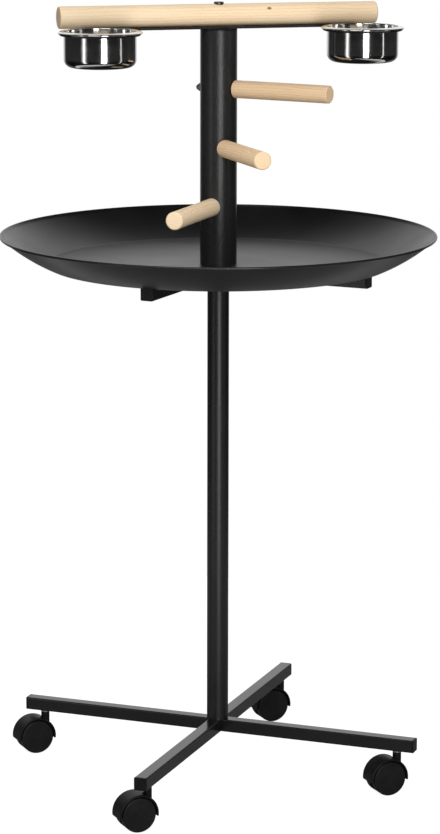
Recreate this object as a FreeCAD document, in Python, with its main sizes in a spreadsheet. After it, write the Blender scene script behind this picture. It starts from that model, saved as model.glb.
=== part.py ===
"""Parrot play stand: a rolling cross base, a steel column, a round tray, three
side perches, and a top perch with two lift-out feeding cups.

Frame: millimetres, +Z up. The origin is on the floor under the column, -Y is the
front, and bearings are degrees anticlockwise from +X, seen from above.
"""

import FreeCAD, Part
import os
import re
import sys

import Sketcher
from FreeCAD import Placement, Rotation, Vector

doc = FreeCAD.newDocument("play_stand")

# ---------------------------------------------------------------------------
# Driving dimensions
# ---------------------------------------------------------------------------

SIZES = {
    # fits
    "running_gap": 0.05,        # radial play of anything that turns
    "seat_gap": 0.3,            # between a cup's rim and its ring
    "weld_gap": 0.05,           # round fits that are welded, screwed or pressed
    # square tube of the base and of the tray support
    "tube_side": 15,
    "tube_wall": 1.2,
    "tube_corner": 1.5,
    "plug_flange": 2.5,
    "plug_insert": 12,
    "plug_wall": 1.5,
    "plug_gap": 0.15,
    "plug_chamfer": 0.5,
    # cross base
    "leg_reach": 244,           # axis to the outer face of an end plug
    "leg_height": 50,           # floor to the underside of the legs
    "leg_bearing": -20.6,       # bearing of the right-hand leg
    # casters
    "caster_inset": 22,         # outer face of an end plug to the swivel axis
    "caster_bearing": -156,     # the way every caster trails
    "trail": 14.4,
    "wheel_radius": 20,
    "wheel_width": 8.6,
    "wheel_wall": 2.2,
    "wheel_edge": 1.6,          # chamfer of the outer rim
    "hub_diameter": 9,
    "wheel_gap": 0.4,           # wheel to the web of the hood
    "web_width": 7,
    "web_inset": 5,             # rim of a wheel to the edge of the web below the hood
    "hood_gap": 1.5,            # rim of a wheel to the inside of the hood
    "hood_wall": 2,
    "hood_drop": 3,             # how far the hood reaches below the axle
    "hood_round": 1.2,
    "axle_diameter": 4,
    "axle_cover": 2,            # wheel material over the end of the axle
    "neck_diameter": 10,
    "collar_height": 2,
    "pin_diameter": 6,
    "pin_length": 12,
    "stem_diameter": 8,
    "stem_chamfer": 0.6,
    "nut_diameter": 11,
    "nut_height": 8,
    # column
    "lower_diameter": 25,
    "lower_wall": 1.5,
    "lower_length": 526,
    "upper_diameter": 42,
    "upper_wall": 1.5,
    "upper_length": 266,
    "insert_length": 20,
    "bolt_diameter": 6,
    "bolt_hole": 6.4,
    "bolt_head": 10,            # across the flats
    "bolt_head_height": 4,
    "bolt_access": 12,          # hole in the underside, for the head
    "cap_flange": 2,
    "cap_chamfer": 0.8,
    "cap_plug": 12,
    "stud_clear": 2,            # left free at the blind end of a thread
    # tray and its support
    "arm_reach": 187,
    "arm_bearing": -24.8,
    "tray_diameter": 500,
    "tray_height": 35,
    "tray_floor": 396,
    "tray_sheet": 1.2,
    "tray_bend": 14,
    "tray_bead": 3,
    # side perches
    "side_diameter": 20,
    "side_reach": 142.7,        # axis to the free end
    "side_bearing": -30,        # of the highest one
    "side_step": 40,            # turn from one to the next
    "side_base": 67,            # tray floor to the lowest one
    "side_pitch": 66.5,
    "side_chamfer": 1.2,
    "screw_diameter": 5,
    "screw_hole": 5.4,
    "screw_grip": 28,           # depth of the screw in the wood
    "screw_tail": 6.5,          # length of the screw past the far side of the pole
    "cap_nut": 8,               # across the flats
    "cap_nut_height": 4.2,      # without its dome
    "dome_step": 0.3,           # dome smaller than the flats, all round
    # top perch, holder and cups
    "top_diameter": 25,
    "top_length": 370,
    "top_bearing": 15,
    "top_round": 2,
    "perch_bolt": 6,
    "perch_bolt_head": 11.2,
    "perch_bolt_rise": 2.3,     # head above the top of the perch
    "perch_bolt_round": 1.2,
    "bar_thick": 2,
    "bar_length": 322,
    "bar_corner": 4,
    "ring_spread": 302,         # between the centres of the two rings
    "ring_rod": 4,
    "ring_seat": 1.5,           # how deep a ring sits in the edge of the bar
    "cup_diameter": 81,
    "cup_height": 40,
    "cup_sheet": 0.8,
    "cup_bend": 10,
    "cup_bead": 2,
    "cup_play": 1,              # wall of a cup to its ring
    "cup_clear": 1,             # rim of a cup to the perch as it is lifted out
    "rim_overhang": 1.5,        # how far the rim reaches past the ring
}

SIDES = ("right", "back", "left", "front")
SIDE_PERCHES = ("upper", "middle", "lower")
FINE = 0.001                    # mm, for telling edges and faces apart
pieces = []

sheet = doc.addObject("Spreadsheet::Sheet", "Sizes")
for row, (alias, number) in enumerate(SIZES.items(), start=1):
    sheet.set(f"A{row}", alias)
    sheet.set(f"B{row}", str(number))
    sheet.setAlias(f"B{row}", alias)
doc.recompute()


def link(formula):
    """The formula with every alias written as a reference to the sheet."""
    return re.sub(r"[a-z]+(?:_[a-z]+)+|trail", lambda word: "Sizes." + word.group(), str(formula))


def value(formula):
    """The number that a formula stands for."""
    answer = sheet.evalExpression(link(formula))
    return float(getattr(answer, "Value", answer))


# Levels and radii that several pieces share
CASTER_REACH = "(leg_reach - caster_inset)"
STEM_HOLE = "(stem_diameter / 2 + weld_gap)"
LEG_TOP = "(leg_height + tube_side)"
ARM_LOW = f"({LEG_TOP} + lower_length)"
TRAY_LOW = f"({ARM_LOW} + tube_side)"
TRAY_FLOOR = f"({TRAY_LOW} + tray_sheet)"
POLE_TOP = f"({TRAY_FLOOR} + upper_length)"
BAR_LOW = f"({POLE_TOP} + cap_flange)"
BAR_TOP = f"({BAR_LOW} + bar_thick)"
PERCH_MID = f"({BAR_TOP} + top_diameter / 2)"
RING_MID = f"({BAR_LOW} + bar_thick / 2)"
PERCH_SEAT = "sqrt((top_diameter / 2) ^ 2 - (perch_bolt_head / 2) ^ 2)"
RING_OUTER = "(cup_diameter / 2 + cup_play + ring_rod)"
RIM_RADIUS = f"({RING_OUTER} + rim_overhang)"
RING_OFFSET = f"(top_diameter / 2 + cup_clear + {RIM_RADIUS})"
BAR_EDGE = f"({RING_OFFSET} - {RING_OUTER} + ring_seat)"
RIM_LOW = f"({RING_MID} + ring_rod / 2 + seat_gap)"
NECK_TOP = "(leg_height - collar_height - seat_gap)"
LOWER_BORE = "(lower_diameter / 2 - lower_wall)"
UPPER_BORE = "(upper_diameter / 2 - upper_wall)"


# ---------------------------------------------------------------------------
# Modelling helpers
# ---------------------------------------------------------------------------

def new_body(label):
    body = doc.addObject("PartDesign::Body", label)
    body.Label = label
    return body


def attach(item, body, plane, level="0"):
    """Lay an item on one of the body's own origin planes, raised by level."""
    support = next(part for part in body.Origin.OriginFeatures if part.Role == plane)
    item.AttachmentSupport = (support, "")
    item.MapMode = "FlatFace"
    if level != "0":
        item.setExpression("AttachmentOffset.Base.z", link(level))


def new_sketch(body, plane, level="0"):
    sketch = body.newObject("Sketcher::SketchObject", body.Name + "_sketch")
    attach(sketch, body, plane, level)
    return sketch


def pin_point(sketch, geometry, point, across, along):
    """Fix a point of the sketch at two formulas."""
    for kind, formula, axis in (("DistanceX", across, -2), ("DistanceY", along, -1)):
        if formula == "0":
            sketch.addConstraint(Sketcher.Constraint("PointOnObject", geometry, point, axis))
            continue
        index = sketch.addConstraint(
            Sketcher.Constraint(kind, -1, 1, geometry, point, value(formula)))
        name = f"{kind}_{index}"
        sketch.renameConstraint(index, name)
        sketch.setExpression("Constraints." + name, link(formula))


def outline(sketch, points):
    """A closed outline of straight lines through pairs of formulas."""
    places = [Vector(value(across), value(along), 0) for across, along in points]
    first = sketch.GeometryCount
    count = len(points)
    for index in range(count):
        sketch.addGeometry(Part.LineSegment(places[index], places[(index + 1) % count]))
    for index in range(count):
        sketch.addConstraint(Sketcher.Constraint(
            "Coincident", first + index, 2, first + (index + 1) % count, 1))
    for index, (across, along) in enumerate(points):
        pin_point(sketch, first + index, 1, across, along)


def circle(sketch, radius, across="0", along="0"):
    centre = Vector(value(across), value(along), 0)
    geometry = sketch.addGeometry(Part.Circle(centre, Vector(0, 0, 1), value(radius)))
    pin_point(sketch, geometry, 3, across, along)
    index = sketch.addConstraint(Sketcher.Constraint("Radius", geometry, value(radius)))
    name = f"Radius_{index}"
    sketch.renameConstraint(index, name)
    sketch.setExpression("Constraints." + name, link(radius))


def square(sketch, side, centre=("0", "0")):
    across, along = centre
    half = f"({side}) / 2"
    outline(sketch, [(f"{across} - {half}", f"{along} - {half}"),
                     (f"{across} + {half}", f"{along} - {half}"),
                     (f"{across} + {half}", f"{along} + {half}"),
                     (f"{across} - {half}", f"{along} + {half}")])


def pad(body, sketch, length, both_ways=False):
    feature = body.newObject("PartDesign::Pad", body.Name + "_pad")
    feature.Profile = sketch
    feature.Midplane = both_ways
    feature.setExpression("Length", link(length))
    return feature


def cut(body, sketch, length=None, forward=True):
    """A pocket from the sketch plane: forward follows the plane's normal."""
    feature = body.newObject("PartDesign::Pocket", body.Name + "_pocket")
    feature.Profile = sketch
    if length is None:
        feature.Type = "ThroughAll"
        feature.Midplane = True
        return feature
    feature.Reversed = forward
    feature.setExpression("Length", link(length))
    return feature


def revolve(body, sketch, axis="V_Axis"):
    feature = body.newObject("PartDesign::Revolution", body.Name + "_revolution")
    feature.Profile = sketch
    feature.ReferenceAxis = (sketch, [axis])
    feature.Angle = 360
    return feature


def dress(body, kind, base, test, size):
    """A fillet or chamfer on the edges of the base that pass the test."""
    doc.recompute()
    edges = [f"Edge{number}" for number, edge in enumerate(base.Shape.Edges, start=1) if test(edge)]
    feature = body.newObject("PartDesign::" + kind, f"{body.Name}_{kind.lower()}")
    feature.Base = (base, edges)
    feature.setExpression("Radius" if kind == "Fillet" else "Size", link(size))
    return feature


def open_shell(body, base, level, wall):
    """Hollow the base from its flat face at the given level."""
    doc.recompute()
    faces = [f"Face{number}" for number, face in enumerate(base.Shape.Faces, start=1)
             if abs(face.BoundBox.ZMin - level) < FINE and abs(face.BoundBox.ZMax - level) < FINE]
    feature = body.newObject("PartDesign::Thickness", body.Name + "_thickness")
    feature.Base = (base, faces)
    feature.Reversed = True
    feature.setExpression("Value", link(wall))
    return feature


def bead(body, radius, rod, level):
    """A rolled edge: a ring of round section about the body's own Z axis."""
    feature = body.newObject("PartDesign::AdditiveTorus", body.Name + "_bead")
    attach(feature, body, "XY_Plane", level)
    feature.setExpression("Radius1", link(radius))
    feature.setExpression("Radius2", link(rod))
    return feature


def group(label, members):
    """Identical fasteners, kept together as one piece of several solids."""
    together = doc.addObject("Part::Compound", label)
    together.Label = label
    together.Links = members
    pieces.append(together)


def stand(piece, reach="0", bearing="0", height="0", turn="0", side="0"):
    """Place a piece: reach out along a bearing, side to its left, then turn it about Z."""
    piece.Placement = Placement(Vector(), Rotation(Vector(0, 0, 1), 1))
    across = f"({reach}) * cos({bearing}) - ({side}) * sin({bearing})"
    along = f"({reach}) * sin({bearing}) + ({side}) * cos({bearing})"
    piece.setExpression("Placement.Base.x", link(across))
    piece.setExpression("Placement.Base.y", link(along))
    piece.setExpression("Placement.Base.z", link(height))
    piece.setExpression("Placement.Rotation.Angle", link(turn))


def spans(edge, axis, low, high):
    """Whether an edge lies between two levels along an axis."""
    box = edge.BoundBox
    ends = {"X": (box.XMin, box.XMax), "Y": (box.YMin, box.YMax), "Z": (box.ZMin, box.ZMax)}[axis]
    return ends[0] > low - FINE and ends[1] < high + FINE


def runs_along_x(edge):
    box = edge.BoundBox
    return box.YLength < FINE and box.ZLength < FINE


# ---------------------------------------------------------------------------
# Square tube and its end plugs
# ---------------------------------------------------------------------------

TUBE_MID = ("0", "tube_side / 2")


def square_tube(label, start, end, lower_holes=(), through_hole=None):
    """A tube along X with its underside at z = 0; its lower holes are (place, radius)."""
    body = new_body(label)
    profile = new_sketch(body, "YZ_Plane", start)
    square(profile, "tube_side", TUBE_MID)
    bar = pad(body, profile, f"({end}) - ({start})")
    dress(body, "Fillet", bar, runs_along_x, "tube_corner")
    inside = new_sketch(body, "YZ_Plane")
    square(inside, "tube_side - 2 * tube_wall", TUBE_MID)
    cut(body, inside)
    if lower_holes:
        drill = new_sketch(body, "XY_Plane")
        for across, radius in lower_holes:
            circle(drill, radius, across)
        cut(body, drill, "tube_wall")
    if through_hole:
        drill = new_sketch(body, "XY_Plane")
        circle(drill, through_hole)
        cut(body, drill)
    return body


def end_plug(label):
    """A moulded plug: flange outward along +X, hollow insert inward."""
    body = new_body(label)
    face = new_sketch(body, "YZ_Plane")
    square(face, "tube_side", TUBE_MID)
    flange = pad(body, face, "plug_flange")
    rounded = dress(body, "Fillet", flange, runs_along_x, "tube_corner")
    front = value("plug_flange")
    dress(body, "Chamfer", rounded, lambda edge: spans(edge, "X", front, front), "plug_chamfer")
    side = "(tube_side - 2 * tube_wall - 2 * plug_gap)"
    grip = new_sketch(body, "YZ_Plane")
    square(grip, side, TUBE_MID)
    pad(body, grip, "plug_insert").Reversed = True
    hollow = new_sketch(body, "YZ_Plane")
    square(hollow, f"{side} - 2 * plug_wall", TUBE_MID)
    cut(body, hollow, "plug_insert", forward=False)
    return body


def cross(prefix, plug_name, reach, bearing, height, long_holes=(), short_holes=()):
    """Four arms at one level: a long bar, and two short ones butted against its sides."""
    end = f"({reach} - plug_flange)"
    root = "tube_side / 2"
    long_bar = square_tube(prefix + "_long_bar", f"-{end}", end, long_holes, "bolt_hole / 2")
    stand(long_bar, height=height, turn=bearing)
    pieces.append(long_bar)
    for name, quarter in (("back", 1), ("front", 3)):
        short_bar = square_tube(f"{prefix}_short_bar_{name}", root, end, short_holes)
        stand(short_bar, height=height, turn=f"{bearing} + 90 * {quarter}")
        pieces.append(short_bar)
    for quarter, name in enumerate(SIDES):
        plug = end_plug(f"{plug_name}_{name}")
        turn = f"{bearing} + 90 * {quarter}"
        stand(plug, end, turn, height, turn)
        pieces.append(plug)


# ---------------------------------------------------------------------------
# Casters
# ---------------------------------------------------------------------------
# Each caster is drawn with its swivel axis on Z, the floor at z = 0 and the wheels
# trailing along +X.

AXLE_PLACE = ("trail", "wheel_radius")
WHEEL_INNER = "(web_width / 2 + wheel_gap)"
WHEEL_OUTER = f"({WHEEL_INNER} + wheel_width)"
WELL_RADIUS = "(wheel_radius + hood_gap)"
HOOD_RADIUS = f"({WELL_RADIUS} + hood_wall)"


def caster_stem(label):
    """Threaded stem, collar and swivel pin in one turned piece."""
    body = new_body(label)
    profile = new_sketch(body, "XZ_Plane")
    collar_low = "(leg_height - collar_height)"
    pin_low = f"({collar_low} - pin_length)"
    stem_top = "(leg_height + tube_wall + nut_height)"
    outline(profile, [("0", pin_low),
                      ("pin_diameter / 2 - stem_chamfer", pin_low),
                      ("pin_diameter / 2", f"{pin_low} + stem_chamfer"),
                      ("pin_diameter / 2", collar_low),
                      ("neck_diameter / 2", collar_low),
                      ("neck_diameter / 2", "leg_height"),
                      ("stem_diameter / 2", "leg_height"),
                      ("stem_diameter / 2", f"{stem_top} - stem_chamfer"),
                      ("stem_diameter / 2 - stem_chamfer", stem_top),
                      ("0", stem_top)])
    revolve(body, profile)
    return body


def caster_nut(label):
    """A round nut inside the tube, over the hole for a stem."""
    body = new_body(label)
    ring = new_sketch(body, "XY_Plane")
    circle(ring, "nut_diameter / 2")
    circle(ring, "stem_diameter / 2 + weld_gap")
    pad(body, ring, "nut_height")
    return body


def caster_hood(label):
    """One moulding: a fender over both wheels, the web between them, and the neck."""
    body = new_body(label)
    drum = new_sketch(body, "XZ_Plane")
    circle(drum, HOOD_RADIUS, *AXLE_PLACE)
    solid = pad(body, drum, f"2 * {WHEEL_OUTER}", both_ways=True)
    dress(body, "Fillet", solid, lambda edge: edge.BoundBox.YLength < FINE, "hood_round")
    neck = new_sketch(body, "XY_Plane", "wheel_radius")
    circle(neck, "neck_diameter / 2")
    pad(body, neck, f"{NECK_TOP} - wheel_radius")
    for level, forward in (("web_width / 2", True), ("-web_width / 2", False)):
        well = new_sketch(body, "XZ_Plane", level)
        circle(well, WELL_RADIUS, *AXLE_PLACE)
        cut(body, well, f"{WHEEL_OUTER}", forward)
    below = new_sketch(body, "XZ_Plane")
    far = f"2 * {HOOD_RADIUS}"
    outline(below, [(f"trail - {far}", f"-{far}"), (f"trail + {far}", f"-{far}"),
                    (f"trail + {far}", "wheel_radius - hood_drop"),
                    (f"trail - {far}", "wheel_radius - hood_drop")])
    cut(body, below)
    web = new_sketch(body, "XZ_Plane")
    circle(web, "wheel_radius - web_inset", *AXLE_PLACE)
    pad(body, web, "web_width", both_ways=True)
    socket = new_sketch(body, "XY_Plane", NECK_TOP)
    circle(socket, "pin_diameter / 2 + running_gap")
    cut(body, socket, "pin_length", forward=False)
    bore = new_sketch(body, "XZ_Plane")
    circle(bore, "axle_diameter / 2 + weld_gap", *AXLE_PLACE)
    cut(body, bore)
    return body


def caster_axle(label):
    body = new_body(label)
    section = new_sketch(body, "XZ_Plane")
    circle(section, "axle_diameter / 2", *AXLE_PLACE)
    pad(body, section, f"2 * ({WHEEL_OUTER} - axle_cover - seat_gap)", both_ways=True)
    return body


def caster_wheel(label, sign):
    """A disc with a deep rim and a blind hub, open towards the web."""
    body = new_body(label)
    profile = new_sketch(body, "YZ_Plane", "trail")
    profile.setExpression("AttachmentOffset.Base.y", link("wheel_radius"))
    inner = f"{sign} * {WHEEL_INNER}"
    outer = f"{sign} * {WHEEL_OUTER}"
    disc = f"{sign} * ({WHEEL_OUTER} - wheel_wall)"
    bore_end = f"{sign} * ({WHEEL_OUTER} - axle_cover)"
    bore = "axle_diameter / 2 + running_gap"
    outline(profile, [(inner, bore), (inner, "hub_diameter / 2"), (disc, "hub_diameter / 2"),
                      (disc, "wheel_radius - wheel_wall"), (inner, "wheel_radius - wheel_wall"),
                      (inner, "wheel_radius"), (outer, "wheel_radius"),
                      (outer, "0"), (bore_end, "0"), (bore_end, bore)])
    turned = revolve(body, profile, "H_Axis")
    face = value(outer)
    dress(body, "Fillet", turned, lambda edge: spans(edge, "Y", face, face), "wheel_edge")
    return body


def caster(name, bearing):
    """One caster at the end of a leg; its nut is returned for the group of nuts."""
    place = (CASTER_REACH, bearing, "0", "caster_bearing")
    made = [caster_stem("caster_stem_" + name), caster_hood("caster_hood_" + name),
            caster_axle("caster_axle_" + name),
            caster_wheel("wheel_near_" + name, 1), caster_wheel("wheel_far_" + name, -1)]
    for piece in made:
        stand(piece, *place)
    pieces.extend(made)
    nut = caster_nut("caster_nut_" + name)
    stand(nut, CASTER_REACH, bearing, "leg_height + tube_wall")
    return nut


# ---------------------------------------------------------------------------
# Column
# ---------------------------------------------------------------------------

def round_tube(label, radius, bore, length, height):
    body = new_body(label)
    section = new_sketch(body, "XY_Plane")
    circle(section, radius)
    circle(section, bore)
    pad(body, section, length)
    stand(body, height=height)
    return body


def threaded_insert(label, bore, height):
    """A plug welded inside the end of a pole, bored for the bolt."""
    return round_tube(label, f"{bore} - weld_gap", "bolt_diameter / 2 + weld_gap",
                      "insert_length", height)


def hexagon_points(flats):
    """The corners of a hexagon, from its size across the flats."""
    corner = f"{flats} / sqrt(3)"
    return [(f"{corner} * cos({60 * turn + 30})", f"{corner} * sin({60 * turn + 30})")
            for turn in range(6)]


def base_bolt(label):
    """A hexagon bolt from inside the long bar up into the pole, its head under the wall."""
    body = new_body(label)
    head = new_sketch(body, "XY_Plane")
    outline(head, hexagon_points("bolt_head"))
    pad(body, head, "bolt_head_height").Reversed = True
    shank = new_sketch(body, "XY_Plane")
    circle(shank, "bolt_diameter / 2")
    pad(body, shank, "tube_wall + insert_length")
    stand(body, height=f"{LEG_TOP} - tube_wall")
    return body


def joining_stud(label):
    """Headless stud through the support and the tray, into both poles."""
    body = new_body(label)
    rod = new_sketch(body, "XY_Plane")
    circle(rod, "bolt_diameter / 2")
    grip = "insert_length - stud_clear"
    pad(body, rod, f"2 * ({grip}) + tube_side + tray_sheet")
    stand(body, height=f"{ARM_LOW} - ({grip})")
    return body


def upper_pole(label):
    """The wide pole, drilled right through for the screws of the three perches."""
    body = round_tube(label, "upper_diameter / 2", UPPER_BORE, "upper_length", TRAY_FLOOR)
    for order in range(len(SIDE_PERCHES)):
        drill = new_sketch(body, "YZ_Plane")
        drill.AttachmentOffset = Placement(Vector(), Rotation(Vector(0, 1, 0), 1))
        drill.setExpression("AttachmentOffset.Rotation.Angle", link(side_bearing(order)))
        circle(drill, "screw_hole / 2", "0", side_level(order))
        cut(body, drill)
    return body


def pole_cap(label):
    """A plug in the top of the pole, with a flange that the holder bar lies on."""
    body = new_body(label)
    profile = new_sketch(body, "XZ_Plane")
    bore = "perch_bolt / 2 + weld_gap"
    rim = "upper_diameter / 2"
    outline(profile, [(bore, "-cap_plug"), (f"{UPPER_BORE} - weld_gap", "-cap_plug"),
                      (f"{UPPER_BORE} - weld_gap", "0"), (rim, "0"),
                      (rim, "cap_flange - cap_chamfer"), (f"{rim} - cap_chamfer", "cap_flange"),
                      (bore, "cap_flange")])
    revolve(body, profile)
    stand(body, height=POLE_TOP)
    return body


# ---------------------------------------------------------------------------
# Tray
# ---------------------------------------------------------------------------

def tray(label):
    """A pressed pan: flat floor, rounded bend, flared wall and rolled rim."""
    body = new_body(label)
    half = new_sketch(body, "XZ_Plane")
    rim = "tray_diameter / 2 - tray_bead / 2"
    lip = "tray_height - tray_bead / 2"
    outline(half, [("0", "0"), ("tray_floor / 2", "0"), (rim, lip), ("0", lip)])
    pan = revolve(body, half)
    bend = dress(body, "Fillet", pan, lambda edge: spans(edge, "Z", 0, 0), "tray_bend")
    open_shell(body, bend, value(lip), "tray_sheet")
    bead(body, rim, "tray_bead / 2", lip)
    drill = new_sketch(body, "XY_Plane")
    circle(drill, "bolt_hole / 2")
    cut(body, drill)
    stand(body, height=TRAY_LOW)
    return body


# ---------------------------------------------------------------------------
# Perches
# ---------------------------------------------------------------------------

def side_bearing(order):
    return f"side_bearing - {order} * side_step"


def side_level(order):
    """Height over the tray floor: the first perch in the list is the highest."""
    return f"side_base + {len(SIDE_PERCHES) - 1 - order} * side_pitch"


def side_perch(label):
    """A dowel along +X, its flat end against the pole, with a hole for the screw."""
    body = new_body(label)
    section = new_sketch(body, "YZ_Plane", "upper_diameter / 2")
    circle(section, "side_diameter / 2")
    dowel = pad(body, section, "side_reach - upper_diameter / 2")
    dress(body, "Chamfer", dowel, lambda edge: not runs_along_x(edge), "side_chamfer")
    pilot = new_sketch(body, "YZ_Plane", "upper_diameter / 2")
    circle(pilot, "screw_diameter / 2 + weld_gap")
    cut(body, pilot, "screw_grip + stud_clear")
    return body


def perch_screw(label):
    """A headless screw along +X, from the cap nut through the pole into the dowel."""
    body = new_body(label)
    section = new_sketch(body, "YZ_Plane", "-upper_diameter / 2 - screw_tail")
    circle(section, "screw_diameter / 2")
    pad(body, section, "screw_tail + upper_diameter + screw_grip")
    return body


def cap_nut(label):
    """A domed nut on the far side of the pole, its seat at x = -upper_diameter / 2."""
    body = new_body(label)
    seat = "-upper_diameter / 2"
    hexagon = new_sketch(body, "YZ_Plane", seat)
    outline(hexagon, hexagon_points("cap_nut"))
    pad(body, hexagon, "cap_nut_height").Reversed = True
    dome = body.newObject("PartDesign::AdditiveSphere", body.Name + "_dome")
    attach(dome, body, "YZ_Plane", f"{seat} - cap_nut_height")
    dome.setExpression("Radius", link("cap_nut / 2 - dome_step"))
    bore = new_sketch(body, "YZ_Plane", seat)
    circle(bore, "screw_diameter / 2 + weld_gap")
    cut(body, bore, "screw_tail + weld_gap", forward=False)
    return body


def top_perch(label):
    """The thick dowel on top, with a seat for the head of its bolt."""
    body = new_body(label)
    section = new_sketch(body, "YZ_Plane")
    circle(section, "top_diameter / 2")
    dowel = pad(body, section, "top_length", both_ways=True)
    dress(body, "Fillet", dowel, lambda edge: not runs_along_x(edge), "top_round")
    drill = new_sketch(body, "XY_Plane")
    circle(drill, "perch_bolt / 2 + weld_gap")
    cut(body, drill)
    seat = new_sketch(body, "XY_Plane", PERCH_SEAT)
    circle(seat, "perch_bolt_head / 2 + weld_gap")
    cut(body, seat, "top_diameter / 2")
    stand(body, height=PERCH_MID, turn="top_bearing")
    return body


def perch_bolt(label):
    """A low-headed bolt down through the perch and the bar into the pole cap."""
    body = new_body(label)
    disc = new_sketch(body, "XY_Plane", PERCH_SEAT)
    circle(disc, "perch_bolt_head / 2")
    head = pad(body, disc, f"top_diameter / 2 + perch_bolt_rise - {PERCH_SEAT}")
    top = value("top_diameter / 2 + perch_bolt_rise")
    dress(body, "Fillet", head, lambda edge: spans(edge, "Z", top, top), "perch_bolt_round")
    rod = new_sketch(body, "XY_Plane", PERCH_SEAT)
    circle(rod, "perch_bolt / 2")
    shank = pad(body, rod, f"{PERCH_SEAT} + top_diameter / 2 + bar_thick + cap_flange + cap_plug")
    shank.Reversed = True
    stand(body, height=PERCH_MID)
    return body


# ---------------------------------------------------------------------------
# Holder and cups
# ---------------------------------------------------------------------------

def holder_bar(label):
    """A flat bar under the perch, notched at its front edge for the two rings."""
    body = new_body(label)
    plate = new_sketch(body, "XY_Plane")
    across = "bar_length / 2"
    outline(plate, [(f"-{across}", f"-{BAR_EDGE}"), (across, f"-{BAR_EDGE}"),
                    (across, BAR_EDGE), (f"-{across}", BAR_EDGE)])
    strip = pad(body, plate, "bar_thick")
    dress(body, "Fillet", strip, lambda edge: edge.BoundBox.ZLength > FINE, "bar_corner")
    notch = new_sketch(body, "XY_Plane")
    for sign in ("", "-"):
        circle(notch, f"{RING_OUTER} + weld_gap", sign + "ring_spread / 2", f"-{RING_OFFSET}")
    circle(notch, "perch_bolt / 2 + weld_gap")
    cut(body, notch)
    stand(body, height=BAR_LOW, turn="top_bearing")
    return body


def cup_ring(label):
    ring = doc.addObject("Part::Torus", label)
    ring.Label = label
    ring.setExpression("Radius1", link(f"{RING_OUTER} - ring_rod / 2"))
    ring.setExpression("Radius2", link("ring_rod / 2"))
    return ring


def cup(label):
    """A spun steel cup: straight wall, rounded bottom, flat flange and rolled edge."""
    body = new_body(label)
    disc = new_sketch(body, "XY_Plane")
    circle(disc, "cup_diameter / 2")
    drum = pad(body, disc, "cup_height")
    bend = dress(body, "Fillet", drum, lambda edge: spans(edge, "Z", 0, 0), "cup_bend")
    open_shell(body, bend, value("cup_height"), "cup_sheet")
    flange = new_sketch(body, "XY_Plane", "cup_height - cup_sheet")
    edge = f"{RIM_RADIUS} - cup_bead / 2"
    circle(flange, edge)
    circle(flange, "cup_diameter / 2 - cup_sheet")
    pad(body, flange, "cup_sheet")
    bead(body, edge, "cup_bead / 2", "cup_height - cup_bead / 2")
    return body


# ---------------------------------------------------------------------------
# The whole stand
# ---------------------------------------------------------------------------

cross("base", "leg_plug", "leg_reach", "leg_bearing", "leg_height",
      [(CASTER_REACH, STEM_HOLE), (f"-{CASTER_REACH}", STEM_HOLE), ("0", "bolt_access / 2")],
      [(CASTER_REACH, STEM_HOLE)])
group("caster_nuts", [caster(name, f"leg_bearing + 90 * {quarter}")
                      for quarter, name in enumerate(SIDES)])

pieces.append(base_bolt("base_bolt"))
pieces.append(threaded_insert("lower_pole_foot_insert", LOWER_BORE, LEG_TOP))
pieces.append(round_tube("lower_pole", "lower_diameter / 2", LOWER_BORE, "lower_length", LEG_TOP))
pieces.append(threaded_insert("lower_pole_top_insert", LOWER_BORE, f"{ARM_LOW} - insert_length"))
cross("support", "support_plug", "arm_reach", "arm_bearing", ARM_LOW)
pieces += [tray("tray"), joining_stud("joining_stud")]
pieces.append(threaded_insert("upper_pole_foot_insert", UPPER_BORE, TRAY_FLOOR))
pieces += [upper_pole("upper_pole"), pole_cap("pole_cap")]

cap_nuts = []
for order, name in enumerate(SIDE_PERCHES):
    dowel = side_perch("side_perch_" + name)
    screw = perch_screw("perch_screw_" + name)
    nut = cap_nut("perch_cap_nut_" + name)
    for piece in (dowel, screw, nut):
        stand(piece, height=f"{TRAY_FLOOR} + {side_level(order)}", turn=side_bearing(order))
    pieces += [dowel, screw]
    cap_nuts.append(nut)
group("perch_cap_nuts", cap_nuts)

pieces += [holder_bar("holder_bar"), top_perch("top_perch"), perch_bolt("perch_bolt")]
for name, sign in (("left", "-"), ("right", "")):
    reach = sign + "ring_spread / 2"
    ring = cup_ring("cup_ring_" + name)
    stand(ring, reach, "top_bearing", RING_MID, side=f"-{RING_OFFSET}")
    vessel = cup("cup_" + name)
    low = f"{RIM_LOW} + cup_sheet - cup_height"
    stand(vessel, reach, "top_bearing", low, side=f"-{RING_OFFSET}")
    pieces += [ring, vessel]

doc.recompute()

faults = [item.Label for item in doc.Objects if {"Invalid", "Error"} & set(item.State)]
faults += [item.Label for item in pieces if item.Shape.isNull() or not item.Shape.isValid()]
if faults:
    sys.exit("Not built: " + ", ".join(faults))

os.makedirs("parts", exist_ok=True)
for piece in pieces:
    piece.Shape.exportStep(f"parts/{piece.Label}.step")
print(len(pieces), "pieces written")
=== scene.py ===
"""Looks of the parrot play stand: materials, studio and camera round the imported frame."""

import math

import bmesh
import bpy
from mathutils import Matrix, Vector


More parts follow.
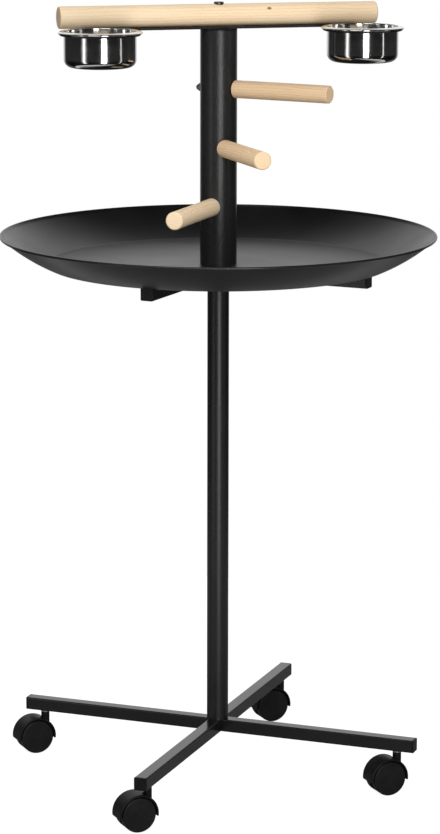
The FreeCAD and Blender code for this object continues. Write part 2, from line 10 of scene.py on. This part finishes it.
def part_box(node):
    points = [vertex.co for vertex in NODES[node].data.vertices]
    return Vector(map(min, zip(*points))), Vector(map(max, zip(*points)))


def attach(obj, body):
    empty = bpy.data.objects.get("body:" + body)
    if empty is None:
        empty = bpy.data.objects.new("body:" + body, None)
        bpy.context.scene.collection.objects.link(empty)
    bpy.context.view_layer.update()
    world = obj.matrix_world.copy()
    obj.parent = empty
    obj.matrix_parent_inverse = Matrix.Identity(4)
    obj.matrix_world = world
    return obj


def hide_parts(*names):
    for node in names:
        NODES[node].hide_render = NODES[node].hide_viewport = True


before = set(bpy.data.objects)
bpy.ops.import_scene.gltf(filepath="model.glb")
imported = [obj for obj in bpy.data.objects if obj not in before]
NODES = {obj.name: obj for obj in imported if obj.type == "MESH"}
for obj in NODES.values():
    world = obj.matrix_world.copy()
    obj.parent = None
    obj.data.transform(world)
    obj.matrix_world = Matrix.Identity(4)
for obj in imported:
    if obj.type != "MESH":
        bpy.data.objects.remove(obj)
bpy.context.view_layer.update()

SIDES = ("right", "back", "left", "front")

# Bearings, in degrees anticlockwise from +X seen from above, as in the frame
SIDE_PERCHES = {"upper": -30, "middle": -70, "lower": -110}
TOP_BEARING = 15
TOP_RADIUS = 0.0125         # m
KNOT = (0.0571, 0.0048, 0.8969)         # place of the knot on the top perch, m

# Wood of the side perches in 0 to 255: late wood, early wood and pale patches; the upper perch's tones
# are darkened as painted shade and the lower perch's lightened as painted light
WOOD_TONES_WITH_PAINTED_LIGHT = {"upper": ((188, 152, 112), (212, 182, 146), (217, 190, 155)),
         "middle": ((212, 172, 128), (238, 206, 166), (244, 216, 178)),
         "lower": ((228, 194, 152), (250, 224, 188), (252, 230, 198))}


# ---------------------------------------------------------------------------
# Node helpers
# ---------------------------------------------------------------------------

class Look:
    """A material under construction: a Principled shader and short ways to add nodes."""

    def __init__(self, name, **sockets):
        self.material = bpy.data.materials.new(name)
        self.material.use_nodes = True
        self.nodes = self.material.node_tree.nodes
        self.links = self.material.node_tree.links
        self.shader = self.nodes["Principled BSDF"]
        self.place = self.nodes.new("ShaderNodeTexCoord").outputs["Object"]
        for socket, setting in sockets.items():
            self.shader.inputs[socket.replace("_", " ")].default_value = setting

    def feed(self, socket, source):
        """Give a socket a number, a vector or another node's output."""
        if isinstance(source, bpy.types.NodeSocket):
            self.links.new(source, socket)
        else:
            socket.default_value = source

    def add(self, kind, settings=None, **inputs):
        node = self.nodes.new("ShaderNode" + kind)
        for name, setting in (settings or {}).items():
            setattr(node, name, setting)
        for name, source in inputs.items():
            self.feed(node.inputs[name.replace("_", " ")], source)
        return node

    def math(self, operation, *sources):
        node = self.add("Math", {"operation": operation})
        for socket, source in zip(node.inputs, sources):
            self.feed(socket, source)
        return node.outputs[0]

    def mapped(self, turn=(0, 0, 0), shift=(0, 0, 0), stretch=(1, 1, 1)):
        """The place on the object, shifted, then turned, then stretched."""
        moved = self.add("VectorMath", {"operation": "SUBTRACT"})
        self.feed(moved.inputs[0], self.place)
        moved.inputs[1].default_value = shift
        turned = self.add("Mapping", Vector=moved.outputs[0],
                          Rotation=[math.radians(angle) for angle in turn])
        return self.add("Mapping", Vector=turned.outputs[0], Scale=stretch).outputs[0]

    def noise(self, place, scale, detail=3.0, roughness=0.5, distortion=0.0):
        return self.add("TexNoise", Vector=place, Scale=scale, Detail=detail,
                        Roughness=roughness, Distortion=distortion).outputs["Fac"]

    def between(self, source, low, high, start=0.0, end=1.0):
        """Spread a range of the source over another range."""
        return self.add("MapRange", Value=source, From_Min=start, From_Max=end,
                        To_Min=low, To_Max=high).outputs[0]

    def ramp(self, source, *stops):
        node = self.add("ValToRGB", Fac=source)
        ramp = node.color_ramp
        while len(ramp.elements) < len(stops):
            ramp.elements.new(1.0)
        for element, (position, colour) in zip(ramp.elements, stops):
            element.position = position
            element.color = (*colour, 1.0)
        return node.outputs["Color"]

    def mix(self, amount, one, other, blend="MIX"):
        node = self.add("Mix", {"data_type": "RGBA", "blend_type": blend})
        self.feed(node.inputs["Factor"], amount)
        for socket, source in ((node.inputs[6], one), (node.inputs[7], other)):
            self.feed(socket, source if isinstance(source, bpy.types.NodeSocket) else (*source, 1.0))
        return node.outputs[2]

    def bump(self, height, strength, distance, under=None):
        node = self.add("Bump", Height=height, Strength=strength, Distance=distance)
        if under:
            self.links.new(under, node.inputs["Normal"])
        return node.outputs["Normal"]

    def finish(self, colour=None, roughness=None, normal=None):
        for name, source in (("Base Color", colour), ("Roughness", roughness), ("Normal", normal)):
            if source is not None:
                self.feed(self.shader.inputs[name], source)
        return self.material


def srgb(red, green, blue):
    """A colour read in 0 to 255, as linear light."""
    return tuple(part / 255 / 12.92 if part <= 10 else ((part / 255 + 0.055) / 1.055) ** 2.4
                 for part in (red, green, blue))


# ---------------------------------------------------------------------------
# Materials
# ---------------------------------------------------------------------------

def satin_paint(name, dark=0.005, light=0.009, gloss=(0.17, 0.25), ior=1.52):
    """Powder coat: faint orange peel, uneven gloss and a little dust."""
    look = Look(name, IOR=ior)
    cloud = look.noise(look.place, 14.0, 4.0)
    peel = look.noise(look.place, 620.0, 2.0)
    dust = look.noise(look.place, 2100.0, 1.0)
    shade = look.ramp(cloud, (0.3, (dark,) * 3), (0.7, (light,) * 3))
    speck = look.between(dust, 0.0, 0.03, 0.66, 0.80)
    colour = look.mix(speck, shade, (0.32, 0.32, 0.31))
    rough = look.between(cloud, gloss[0], gloss[1], 0.3, 0.7)
    return look.finish(colour, rough, look.bump(peel, 0.06, 0.0004))


def hammered_paint(name):
    """Hammer finish: shallow dimples with raised, lighter walls between them."""
    look = Look(name, IOR=1.5)
    drift = look.noise(look.place, 160.0, 2.0)
    bent = look.add("VectorMath", {"operation": "MULTIPLY_ADD"})
    look.links.new(look.add("CombineXYZ", X=drift, Y=drift, Z=drift).outputs[0], bent.inputs[0])
    bent.inputs[1].default_value = (0.004, 0.004, 0.004)
    look.links.new(look.place, bent.inputs[2])
    cells = look.add("TexVoronoi", {"feature": "SMOOTH_F1"}, Vector=bent.outputs[0],
                     Scale=620.0, Smoothness=0.30).outputs["Distance"]
    fine = look.noise(look.place, 900.0, 2.0)
    height = look.math("ADD", cells, look.math("MULTIPLY", fine, 0.22))
    colour = look.ramp(cells, (0.15, (0.007, 0.007, 0.007)), (0.62, (0.016, 0.016, 0.016)))
    rough = look.between(fine, 0.29, 0.37, 0.3, 0.7)
    return look.finish(colour, rough, look.bump(height, 0.22, 0.0006))


def moulded_plastic(name, shade=0.012, gloss=(0.38, 0.52), grain=1500.0):
    look = Look(name, IOR=1.28)
    cloud = look.noise(look.place, 60.0, 3.0)
    texture = look.noise(look.place, grain, 2.0)
    colour = look.ramp(cloud, (0.3, (shade * 0.7,) * 3), (0.75, (shade * 1.3,) * 3))
    rough = look.between(texture, gloss[0], gloss[1], 0.3, 0.7)
    return look.finish(colour, rough, look.bump(texture, 0.12, 0.0002))


def plated_steel(name, bright=(0.56, 0.56, 0.55), gloss=(0.24, 0.40)):
    look = Look(name, Metallic=1.0)
    spangle = look.add("TexVoronoi", Vector=look.place, Scale=520.0).outputs["Color"]
    grey = look.add("SeparateColor", Color=spangle).outputs[0]
    colour = look.mix(look.between(grey, 0.0, 0.25), bright, tuple(part * 0.6 for part in bright))
    scratch = look.noise(look.mapped(stretch=(1, 1, 9)), 900.0, 2.0)
    rough = look.between(grey, gloss[0], gloss[1])
    return look.finish(colour, rough, look.bump(scratch, 0.08, 0.0001))


def spun_steel(name, centre):
    """Polished stainless steel with the fine rings that spinning and buffing leave."""
    look = Look(name, Metallic=1.0)
    local = look.add("VectorMath", {"operation": "SUBTRACT"})
    look.links.new(look.place, local.inputs[0])
    local.inputs[1].default_value = (centre[0], centre[1], 0.0)
    parts = look.add("SeparateXYZ", Vector=local.outputs[0])
    radius = look.math("SQRT", look.math("ADD", look.math("POWER", parts.outputs[0], 2.0),
                                         look.math("POWER", parts.outputs[1], 2.0)))
    profile = look.add("CombineXYZ", X=radius, Y=parts.outputs[2]).outputs[0]
    rings = look.noise(profile, 2600.0, 2.0, 0.6)
    smear = look.noise(look.place, 70.0, 4.0, 0.6)
    colour = look.ramp(smear, (0.35, (0.66, 0.66, 0.65)), (0.65, (0.74, 0.74, 0.73)))
    rough = look.math("ADD", look.between(rings, 0.05, 0.13, 0.35, 0.65),
                      look.between(smear, 0.0, 0.05, 0.45, 0.75))
    return look.finish(colour, rough, look.bump(rings, 0.05, 0.00012))


def dowel_wood(name, bearing, shift, late, early, pale, streak=0.25, ring=118.0, knot=None,
               reach=None):
    """Turned wood: growth rings about a pith off the dowel's axis, fibres along it.
    With reach, half the dowel's length, the end faces are darker: partly end grain, partly painted
    shade on the end faces."""
    look = Look(name, Specular_IOR_Level=0.35)
    along = look.mapped(turn=(0, 0, -bearing), shift=shift)
    wander = look.noise(look.add("Mapping", Vector=along, Scale=(1.2, 5.0, 5.0)).outputs[0], 9.0, 3.0)
    bent = look.add("VectorMath", {"operation": "MULTIPLY_ADD"})
    look.links.new(look.add("CombineXYZ", Y=wander, Z=wander).outputs[0], bent.inputs[0])
    bent.inputs[1].default_value = (0.0, 0.009, 0.009)
    look.links.new(along, bent.inputs[2])
    rings = look.add("TexWave", {"wave_type": "RINGS", "rings_direction": "X", "wave_profile": "SAW"},
                     Vector=bent.outputs[0], Scale=ring, Distortion=1.6, Detail=2.0,
                     Detail_Scale=1.5).outputs["Fac"]
    fibre_place = look.add("Mapping", Vector=along, Scale=(0.045, 1.0, 1.0)).outputs[0]
    fibre = look.noise(fibre_place, 1500.0, 3.0, 0.6)
    pore = look.noise(look.add("Mapping", Vector=along, Scale=(0.10, 1.0, 1.0)).outputs[0], 2600.0, 1.0)
    blotch = look.noise(look.add("Mapping", Vector=along, Scale=(0.25, 1.0, 1.0)).outputs[0], 38.0, 3.0)
    colour = look.ramp(rings, (0.0, early), (0.72, early), (0.93, late), (1.0, early))
    colour = look.mix(look.between(blotch, 0.0, 0.7, 0.35, 0.75), colour, pale)
    colour = look.mix(look.between(fibre, 0.0, streak, 0.45, 0.80), colour,
                      tuple(part * 0.55 for part in late))
    colour = look.mix(look.between(pore, 0.0, 0.45, 0.66, 0.76), colour,
                      tuple(part * 0.35 for part in late))
    if knot:
        spot = look.mapped(turn=(0, 0, -bearing), shift=knot)
        ragged = look.noise(look.place, 420.0, 2.0)
        size = look.add("VectorMath", {"operation": "LENGTH"})
        squashed = look.add("Mapping", Vector=spot, Scale=(1.0, 1.3, 1.6)).outputs[0]
        look.links.new(squashed, size.inputs[0])
        edge = look.math("ADD", size.outputs["Value"], look.math("MULTIPLY", ragged, 0.0022))
        colour = look.mix(look.between(edge, 0.9, 0.0, 0.0028, 0.0044), colour, srgb(120, 82, 52))
    if reach:
        # darker end faces: end grain together with painted shade
        length = look.math("ABSOLUTE", look.add("SeparateXYZ", Vector=along).outputs[0])
        grain = look.between(length, 0.0, 0.75, reach - 0.0006, reach - 0.0001)
        colour = look.mix(grain, colour, tuple(part * 0.45 for part in late))
    rough = look.between(fibre, 0.50, 0.66, 0.3, 0.7)
    height = look.math("ADD", look.math("MULTIPLY", fibre, 0.6), look.math("MULTIPLY", pore, -0.5))
    return look.finish(colour, rough, look.bump(height, 0.25, 0.0003))


def middle(name):
    low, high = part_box(name)
    return (Vector(low) + Vector(high)) / 2


def dress(material, *names):
    """Give CAD nodes a material, in every slot they have."""
    for name in names:
        slots = NODES[name].material_slots
        for slot in slots:
            slot.material = material
        if not slots:
            NODES[name].data.materials.append(material)


def each(pattern, names=SIDES):
    return [pattern.format(name) for name in names]


frame_paint = satin_paint("satin_black_paint")
dress(frame_paint, "base_long_bar", "base_short_bar_back", "base_short_bar_front",
      "support_long_bar", "support_short_bar_back", "support_short_bar_front",
      "holder_bar", "cup_ring_left", "cup_ring_right")
dress(satin_paint("pole_black_paint", gloss=(0.34, 0.42)), "lower_pole")
dress(hammered_paint("hammered_black_paint"), "upper_pole")

dress(moulded_plastic("plug_plastic", 0.008, (0.34, 0.46)), "pole_cap",
      *each("leg_plug_{}"), *each("support_plug_{}"))
dress(moulded_plastic("hood_plastic", 0.007), *each("caster_hood_{}"))
dress(moulded_plastic("wheel_plastic", 0.010, (0.36, 0.50), 1900.0),
      *each("wheel_near_{}"), *each("wheel_far_{}"))

dress(plated_steel("zinc_plated_steel"), "caster_nuts", "base_bolt",
      "lower_pole_foot_insert", "lower_pole_top_insert", "joining_stud",
      "upper_pole_foot_insert", *each("caster_stem_{}"),
      *each("caster_axle_{}"), *each("perch_screw_{}", SIDE_PERCHES))
dress(plated_steel("dark_plated_steel", (0.14, 0.13, 0.12), (0.32, 0.46)), "perch_bolt")
dress(plated_steel("worn_steel", (0.34, 0.31, 0.28), (0.34, 0.50)), "perch_cap_nuts")

for order, (name, bearing) in enumerate(SIDE_PERCHES.items()):
    node = "side_perch_" + name
    pith = middle(node) + Vector((0, 0, -0.021 - 0.006 * order))
    # the same wood on every perch: the tones carry painted shade on the upper perch and painted light
    # on the lower
    tones = [srgb(*tone) for tone in WOOD_TONES_WITH_PAINTED_LIGHT[name]]
    dress(dowel_wood("tan_wood_" + name, bearing, pith, *tones), node)
low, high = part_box("top_perch")
slant = math.radians(TOP_BEARING)
half_length = ((high[0] - low[0]) / 2 - TOP_RADIUS * math.sin(slant)) / math.cos(slant)
dress(dowel_wood("pale_wood", TOP_BEARING, middle("top_perch") + Vector((0, 0, -0.034)),
                 srgb(218, 180, 136), srgb(233, 208, 172), srgb(235, 215, 184), 0.12, 90.0,
                 knot=KNOT, reach=half_length), "top_perch")


# ---------------------------------------------------------------------------
# Turned sheet metal: the tray and the cups
# ---------------------------------------------------------------------------

SHARP_ANGLE = 32            # degrees


def sweep(centre, radius, start, end, steps):
    """Points of an arc in the profile plane; angles in degrees, from the +r axis."""
    turns = [math.radians(start + (end - start) * step / steps) for step in range(steps + 1)]
    return [(centre[0] + radius * math.cos(turn), centre[1] + radius * math.sin(turn))
            for turn in turns]


def lathe(name, profile, foot, segments):
    """Turn a closed profile of (radius, height) about the vertical through foot. A profile
    that starts and ends at radius 0 is closed there, on the axis."""
    mesh = bpy.data.meshes.new(name)
    count = len(profile)
    points = []
    for step in range(segments):
        turn = 2 * math.pi * step / segments
        points += [(foot[0] + radius * math.cos(turn), foot[1] + radius * math.sin(turn),
                    foot[2] + height) for radius, height in profile]
    faces = [(step * count + at, (step + 1) % segments * count + at,
              (step + 1) % segments * count + (at + 1) % count, step * count + (at + 1) % count)
             for step in range(segments) for at in range(count)]
    mesh.from_pydata(points, [], faces)
    shape = bmesh.new()
    shape.from_mesh(mesh)
    bmesh.ops.remove_doubles(shape, verts=shape.verts, dist=1e-6)
    shape.to_mesh(mesh)
    shape.free()
    mesh.shade_smooth()
    mesh.set_sharp_from_angle(angle=math.radians(SHARP_ANGLE))
    piece = bpy.data.objects.new(name, mesh)
    bpy.context.scene.collection.objects.link(piece)
    return piece


def pan_profile():
    """The pressed pan in section: flat floor, soft bend, dished wall and rolled rim."""
    sheet, bore, bend, bead = 0.0012, 0.0033, 0.006, 0.0015
    low, high = 24.0, 41.0          # slope of the wall at its foot and its rim, degrees
    foot_corner, top_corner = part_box("tray")
    rim = (top_corner[0] - bead, top_corner[2] - foot_corner[2] - bead)
    middle_slope = math.radians((low + high) / 2)
    rise = rim[1] - bend * (1 - math.cos(math.radians(low)))
    chord = rise / math.sin(middle_slope)
    foot = rim[0] - chord * math.cos(middle_slope) - bend * math.sin(math.radians(low))
    wall = chord / 2 / math.sin(math.radians((high - low) / 2))
    wall_centre = (rim[0] - wall * math.sin(math.radians(high)),
                   rim[1] + wall * math.cos(math.radians(high)))
    clear = math.degrees(bead / wall)
    outside = (sweep((foot, bend), bend, -90, low - 90, 8)
               + sweep(wall_centre, wall, low - 90, high - 90 - clear, 14)[1:])
    inside = (sweep((foot, bend), bend - sheet, -90, low - 90, 8)
              + sweep(wall_centre, wall - sheet, low - 90, high - 90 - 0.6 * clear, 14)[1:])
    start = math.degrees(math.atan2(outside[-1][1] - rim[1], outside[-1][0] - rim[0]))
    end = math.degrees(math.atan2(inside[-1][1] - rim[1], inside[-1][0] - rim[0])) % 360
    rolled = sweep(rim, bead, start, end, 24)
    return [(bore, 0.0)] + outside[:-1] + rolled + inside[-2::-1] + [(bore, sheet)]


def cup_profile():
    """The spun cup in section: the flange rounds over towards its rolled edge."""
    sheet, radius, bend, neck = 0.0008, 0.0405, 0.010, 0.0010
    top, edge, bead = 0.0400, 0.0462, 0.0008
    droop, draft, shoulder = 0.0012, math.radians(3.0), 0.0004
    crown = [(0.0424, 0.00005), (0.0436, 0.00022), (0.0450, 0.00062)]   # radius, fall
    inner = radius - sheet
    low = inner - (top - bend) * math.tan(draft)
    outside = ([(0.0, 0.0)] + sweep((radius - bend, bend), bend, -90, 0, 12)
               + sweep((radius + shoulder, top - sheet - shoulder), shoulder, 180, 90, 4)
               + [(at, top - sheet - fall) for at, fall in crown])
    rolled = sweep((edge, top - droop - bead), bead, -150, 70, 20)
    inside = (sweep((inner + neck, top - neck), neck, 90, 180 + math.degrees(draft), 8)
              + sweep((low - bend + sheet, bend), bend - sheet, 0, -90, 12)
              + [(0.0, sheet)])
    return outside + rolled + [(at, top - fall) for at, fall in reversed(crown)] + inside


pan = lathe("tray_pan", pan_profile(), (0, 0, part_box("tray")[0][2]), 360)
pan.data.materials.append(satin_paint("tray_black_paint", gloss=(0.30, 0.38)))
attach(pan, "stand")
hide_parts("tray")

for name in ("cup_left", "cup_right"):
    centre = middle(name)
    vessel = lathe(name + "_spun", cup_profile(), (centre.x, centre.y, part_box(name)[0][2]), 192)
    vessel.data.materials.append(spun_steel("stainless_" + name, centre))
    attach(vessel, name)
    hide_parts(name)


# ---------------------------------------------------------------------------
# Studio
# ---------------------------------------------------------------------------

FLOOR_RADIUS = 0.9          # m, enough for the shadow
FLOOR_SHADE = 0.20          # what the floor gives back of the light that falls on it


class Graph:
    """Short ways to build the node tree of the world or of the floor."""

    def __init__(self, owner):
        owner.use_nodes = True
        self.nodes, self.links = owner.node_tree.nodes, owner.node_tree.links
        self.nodes.clear()

    def add(self, kind, *sources, **settings):
        node = self.nodes.new("ShaderNode" + kind)
        for name, setting in settings.items():
            setattr(node, name, setting)
        for socket, source in zip(node.inputs, sources):
            if isinstance(source, bpy.types.NodeSocket):
                self.links.new(source, socket)
            elif source is not None:
                socket.default_value = source
        return node.outputs[0]

    def ray(self, *kinds):
        """1 for a ray of one of these kinds, else 0."""
        path = self.nodes.new("ShaderNodeLightPath")
        total = path.outputs[f"Is {kinds[0]} Ray"]
        for kind in kinds[1:]:
            total = self.add("Math", total, path.outputs[f"Is {kind} Ray"], operation="MAXIMUM")
        return total

    def grade(self, source, start, end, low, high):
        return self.add("MapRange", source, start, end, low, high, interpolation_type="SMOOTHSTEP")


def studio_world(level, dim):
    """White to the camera. Gloss sees the white backdrop behind the stand, which fades
    overhead and below, and the dim sides and front of the room."""
    world = bpy.data.worlds.new("studio")
    bpy.context.scene.world = world
    graph = Graph(world)
    place = graph.nodes.new("ShaderNodeTexCoord").outputs["Generated"]
    parts = graph.nodes.new("ShaderNodeSeparateXYZ")
    graph.links.new(place, parts.inputs[0])
    level_way = graph.add("VectorMath", place, (1.0, 1.0, 0.0), operation="MULTIPLY")
    level_way = graph.add("VectorMath", level_way, operation="NORMALIZE")
    across = graph.nodes.new("ShaderNodeSeparateXYZ")
    graph.links.new(level_way, across.inputs[0])
    backdrop = graph.grade(across.outputs["Y"], 0.70, 0.95, dim, 1.0)
    ceiling = graph.grade(parts.outputs["Z"], 0.45, 0.88, 1.0, dim)
    ground = graph.grade(parts.outputs["Z"], -0.35, -0.03, 0.12, 1.0)
    room = graph.add("Math", backdrop, ceiling, operation="MULTIPLY")
    room = graph.add("Math", room, ground, operation="MULTIPLY")
    seen = graph.add("Math", room, graph.ray("Camera", "Transmission"), operation="MAXIMUM")
    light = graph.add("Background", (1.0, 1.0, 1.0, 1.0), level)
    shown = graph.add("Background", (1.0, 1.0, 1.0, 1.0), seen)
    both = graph.add("MixShader", graph.ray("Camera", "Glossy", "Transmission"), light, shown)
    out = graph.nodes.new("ShaderNodeOutputWorld")
    graph.links.new(both, out.inputs["Surface"])


def white_floor(radius, glow, gloss_glow):
    """A round floor: its own glow makes it white to the camera, and keeps the shadow.
    Gloss sees it darker under the tray than out in the open: a painted shadow of the tray in its
    reflections."""
    mesh = bpy.data.meshes.new("floor")
    rim = [(radius * math.cos(math.radians(turn)), radius * math.sin(math.radians(turn)), 0.0)
           for turn in range(0, 360, 4)]
    mesh.from_pydata(rim, [], [range(len(rim))])
    floor = bpy.data.objects.new("floor", mesh)
    bpy.context.scene.collection.objects.link(floor)
    material = bpy.data.materials.new("floor_white")
    graph = Graph(material)
    matt = graph.add("BsdfDiffuse", (FLOOR_SHADE, FLOOR_SHADE, FLOOR_SHADE, 1.0))
    place = graph.nodes.new("ShaderNodeTexCoord").outputs["Object"]
    length = graph.nodes.new("ShaderNodeVectorMath")
    length.operation = "LENGTH"
    graph.links.new(place, length.inputs[0])
    # glow seen by gloss, dimmed near the middle as a painted shadow of the tray
    gloss_glow_with_painted_shadow = graph.grade(length.outputs["Value"], 0.55, 0.90, 0.04, gloss_glow)
    strength = graph.add("Math", graph.ray("Camera", "Transmission"), glow, operation="MULTIPLY")
    strength = graph.add("Math", graph.ray("Glossy"), gloss_glow_with_painted_shadow, strength,
                         operation="MULTIPLY_ADD")
    shine = graph.add("Emission", (1.0, 1.0, 1.0, 1.0), strength)
    both = graph.add("AddShader", matt, shine)
    out = graph.nodes.new("ShaderNodeOutputMaterial")
    graph.links.new(both, out.inputs["Surface"])
    mesh.materials.append(material)


def soft_box(name, place, target, width, height, brightness):
    """A rectangular lamp of a given brightness, where 1 is white."""
    data = bpy.data.lights.new(name, "AREA")
    data.shape = "RECTANGLE"
    data.size, data.size_y = width, height
    data.energy = brightness * math.pi * width * height
    box = bpy.data.objects.new(name, data)
    box.location = place
    towards = Vector(target) - Vector(place)
    box.rotation_euler = towards.to_track_quat("-Z", "Y").to_euler()
    box.visible_camera = False
    bpy.context.scene.collection.objects.link(box)


def strip(name, azimuth, width, brightness, low=-1.0, high=2.4, distance=3.0):
    """A tall narrow lamp; azimuth 0 is the front, 90 the right. It reaches below the
    floor, which ends short of it, so that the column mirrors it down to its foot."""
    turn = math.radians(azimuth)
    across, along = distance * math.sin(turn), -distance * math.cos(turn)
    middle_height = (low + high) / 2
    soft_box(name, (across, along, middle_height), (0, 0, middle_height), width, high - low,
             brightness)


studio_world(0.60, 0.035)
white_floor(FLOOR_RADIUS, 0.93, 0.60)
soft_box("key_light", (-0.8, -2.2, 2.7), (0, 0, 0.5), 1.4, 1.4, 4.7)
strip("front_strip", 12, 0.80, 6.0)
strip("left_strip", -50, 0.40, 1.6)
strip("right_strip", 68, 0.14, 1.6)
strip("left_fill", -50, 0.90, 0.28)


# ---------------------------------------------------------------------------
# Camera
# ---------------------------------------------------------------------------

PITCH, YAW, ROLL = 0.20461, 0.00065, 0.0020     # radians
FOCAL, LONG_SIDE = 3097.2, 834                  # pixels of the photograph

lens = bpy.data.cameras.new("camera")
lens.sensor_width = 36.0
lens.lens = FOCAL * lens.sensor_width / LONG_SIDE
lens.clip_start, lens.clip_end = 0.1, 100.0
camera = bpy.data.objects.new("camera", lens)
bpy.context.scene.collection.objects.link(camera)
bpy.context.scene.camera = camera
aim = (Matrix.Rotation(-YAW, 4, "Z") @ Matrix.Rotation(math.pi / 2 - PITCH, 4, "X")
       @ Matrix.Rotation(ROLL, 4, "Z"))
camera.matrix_world = Matrix.Translation((0, -3.51024, 1.15518)) @ aim

bpy.context.scene.view_settings.view_transform = "Standard"
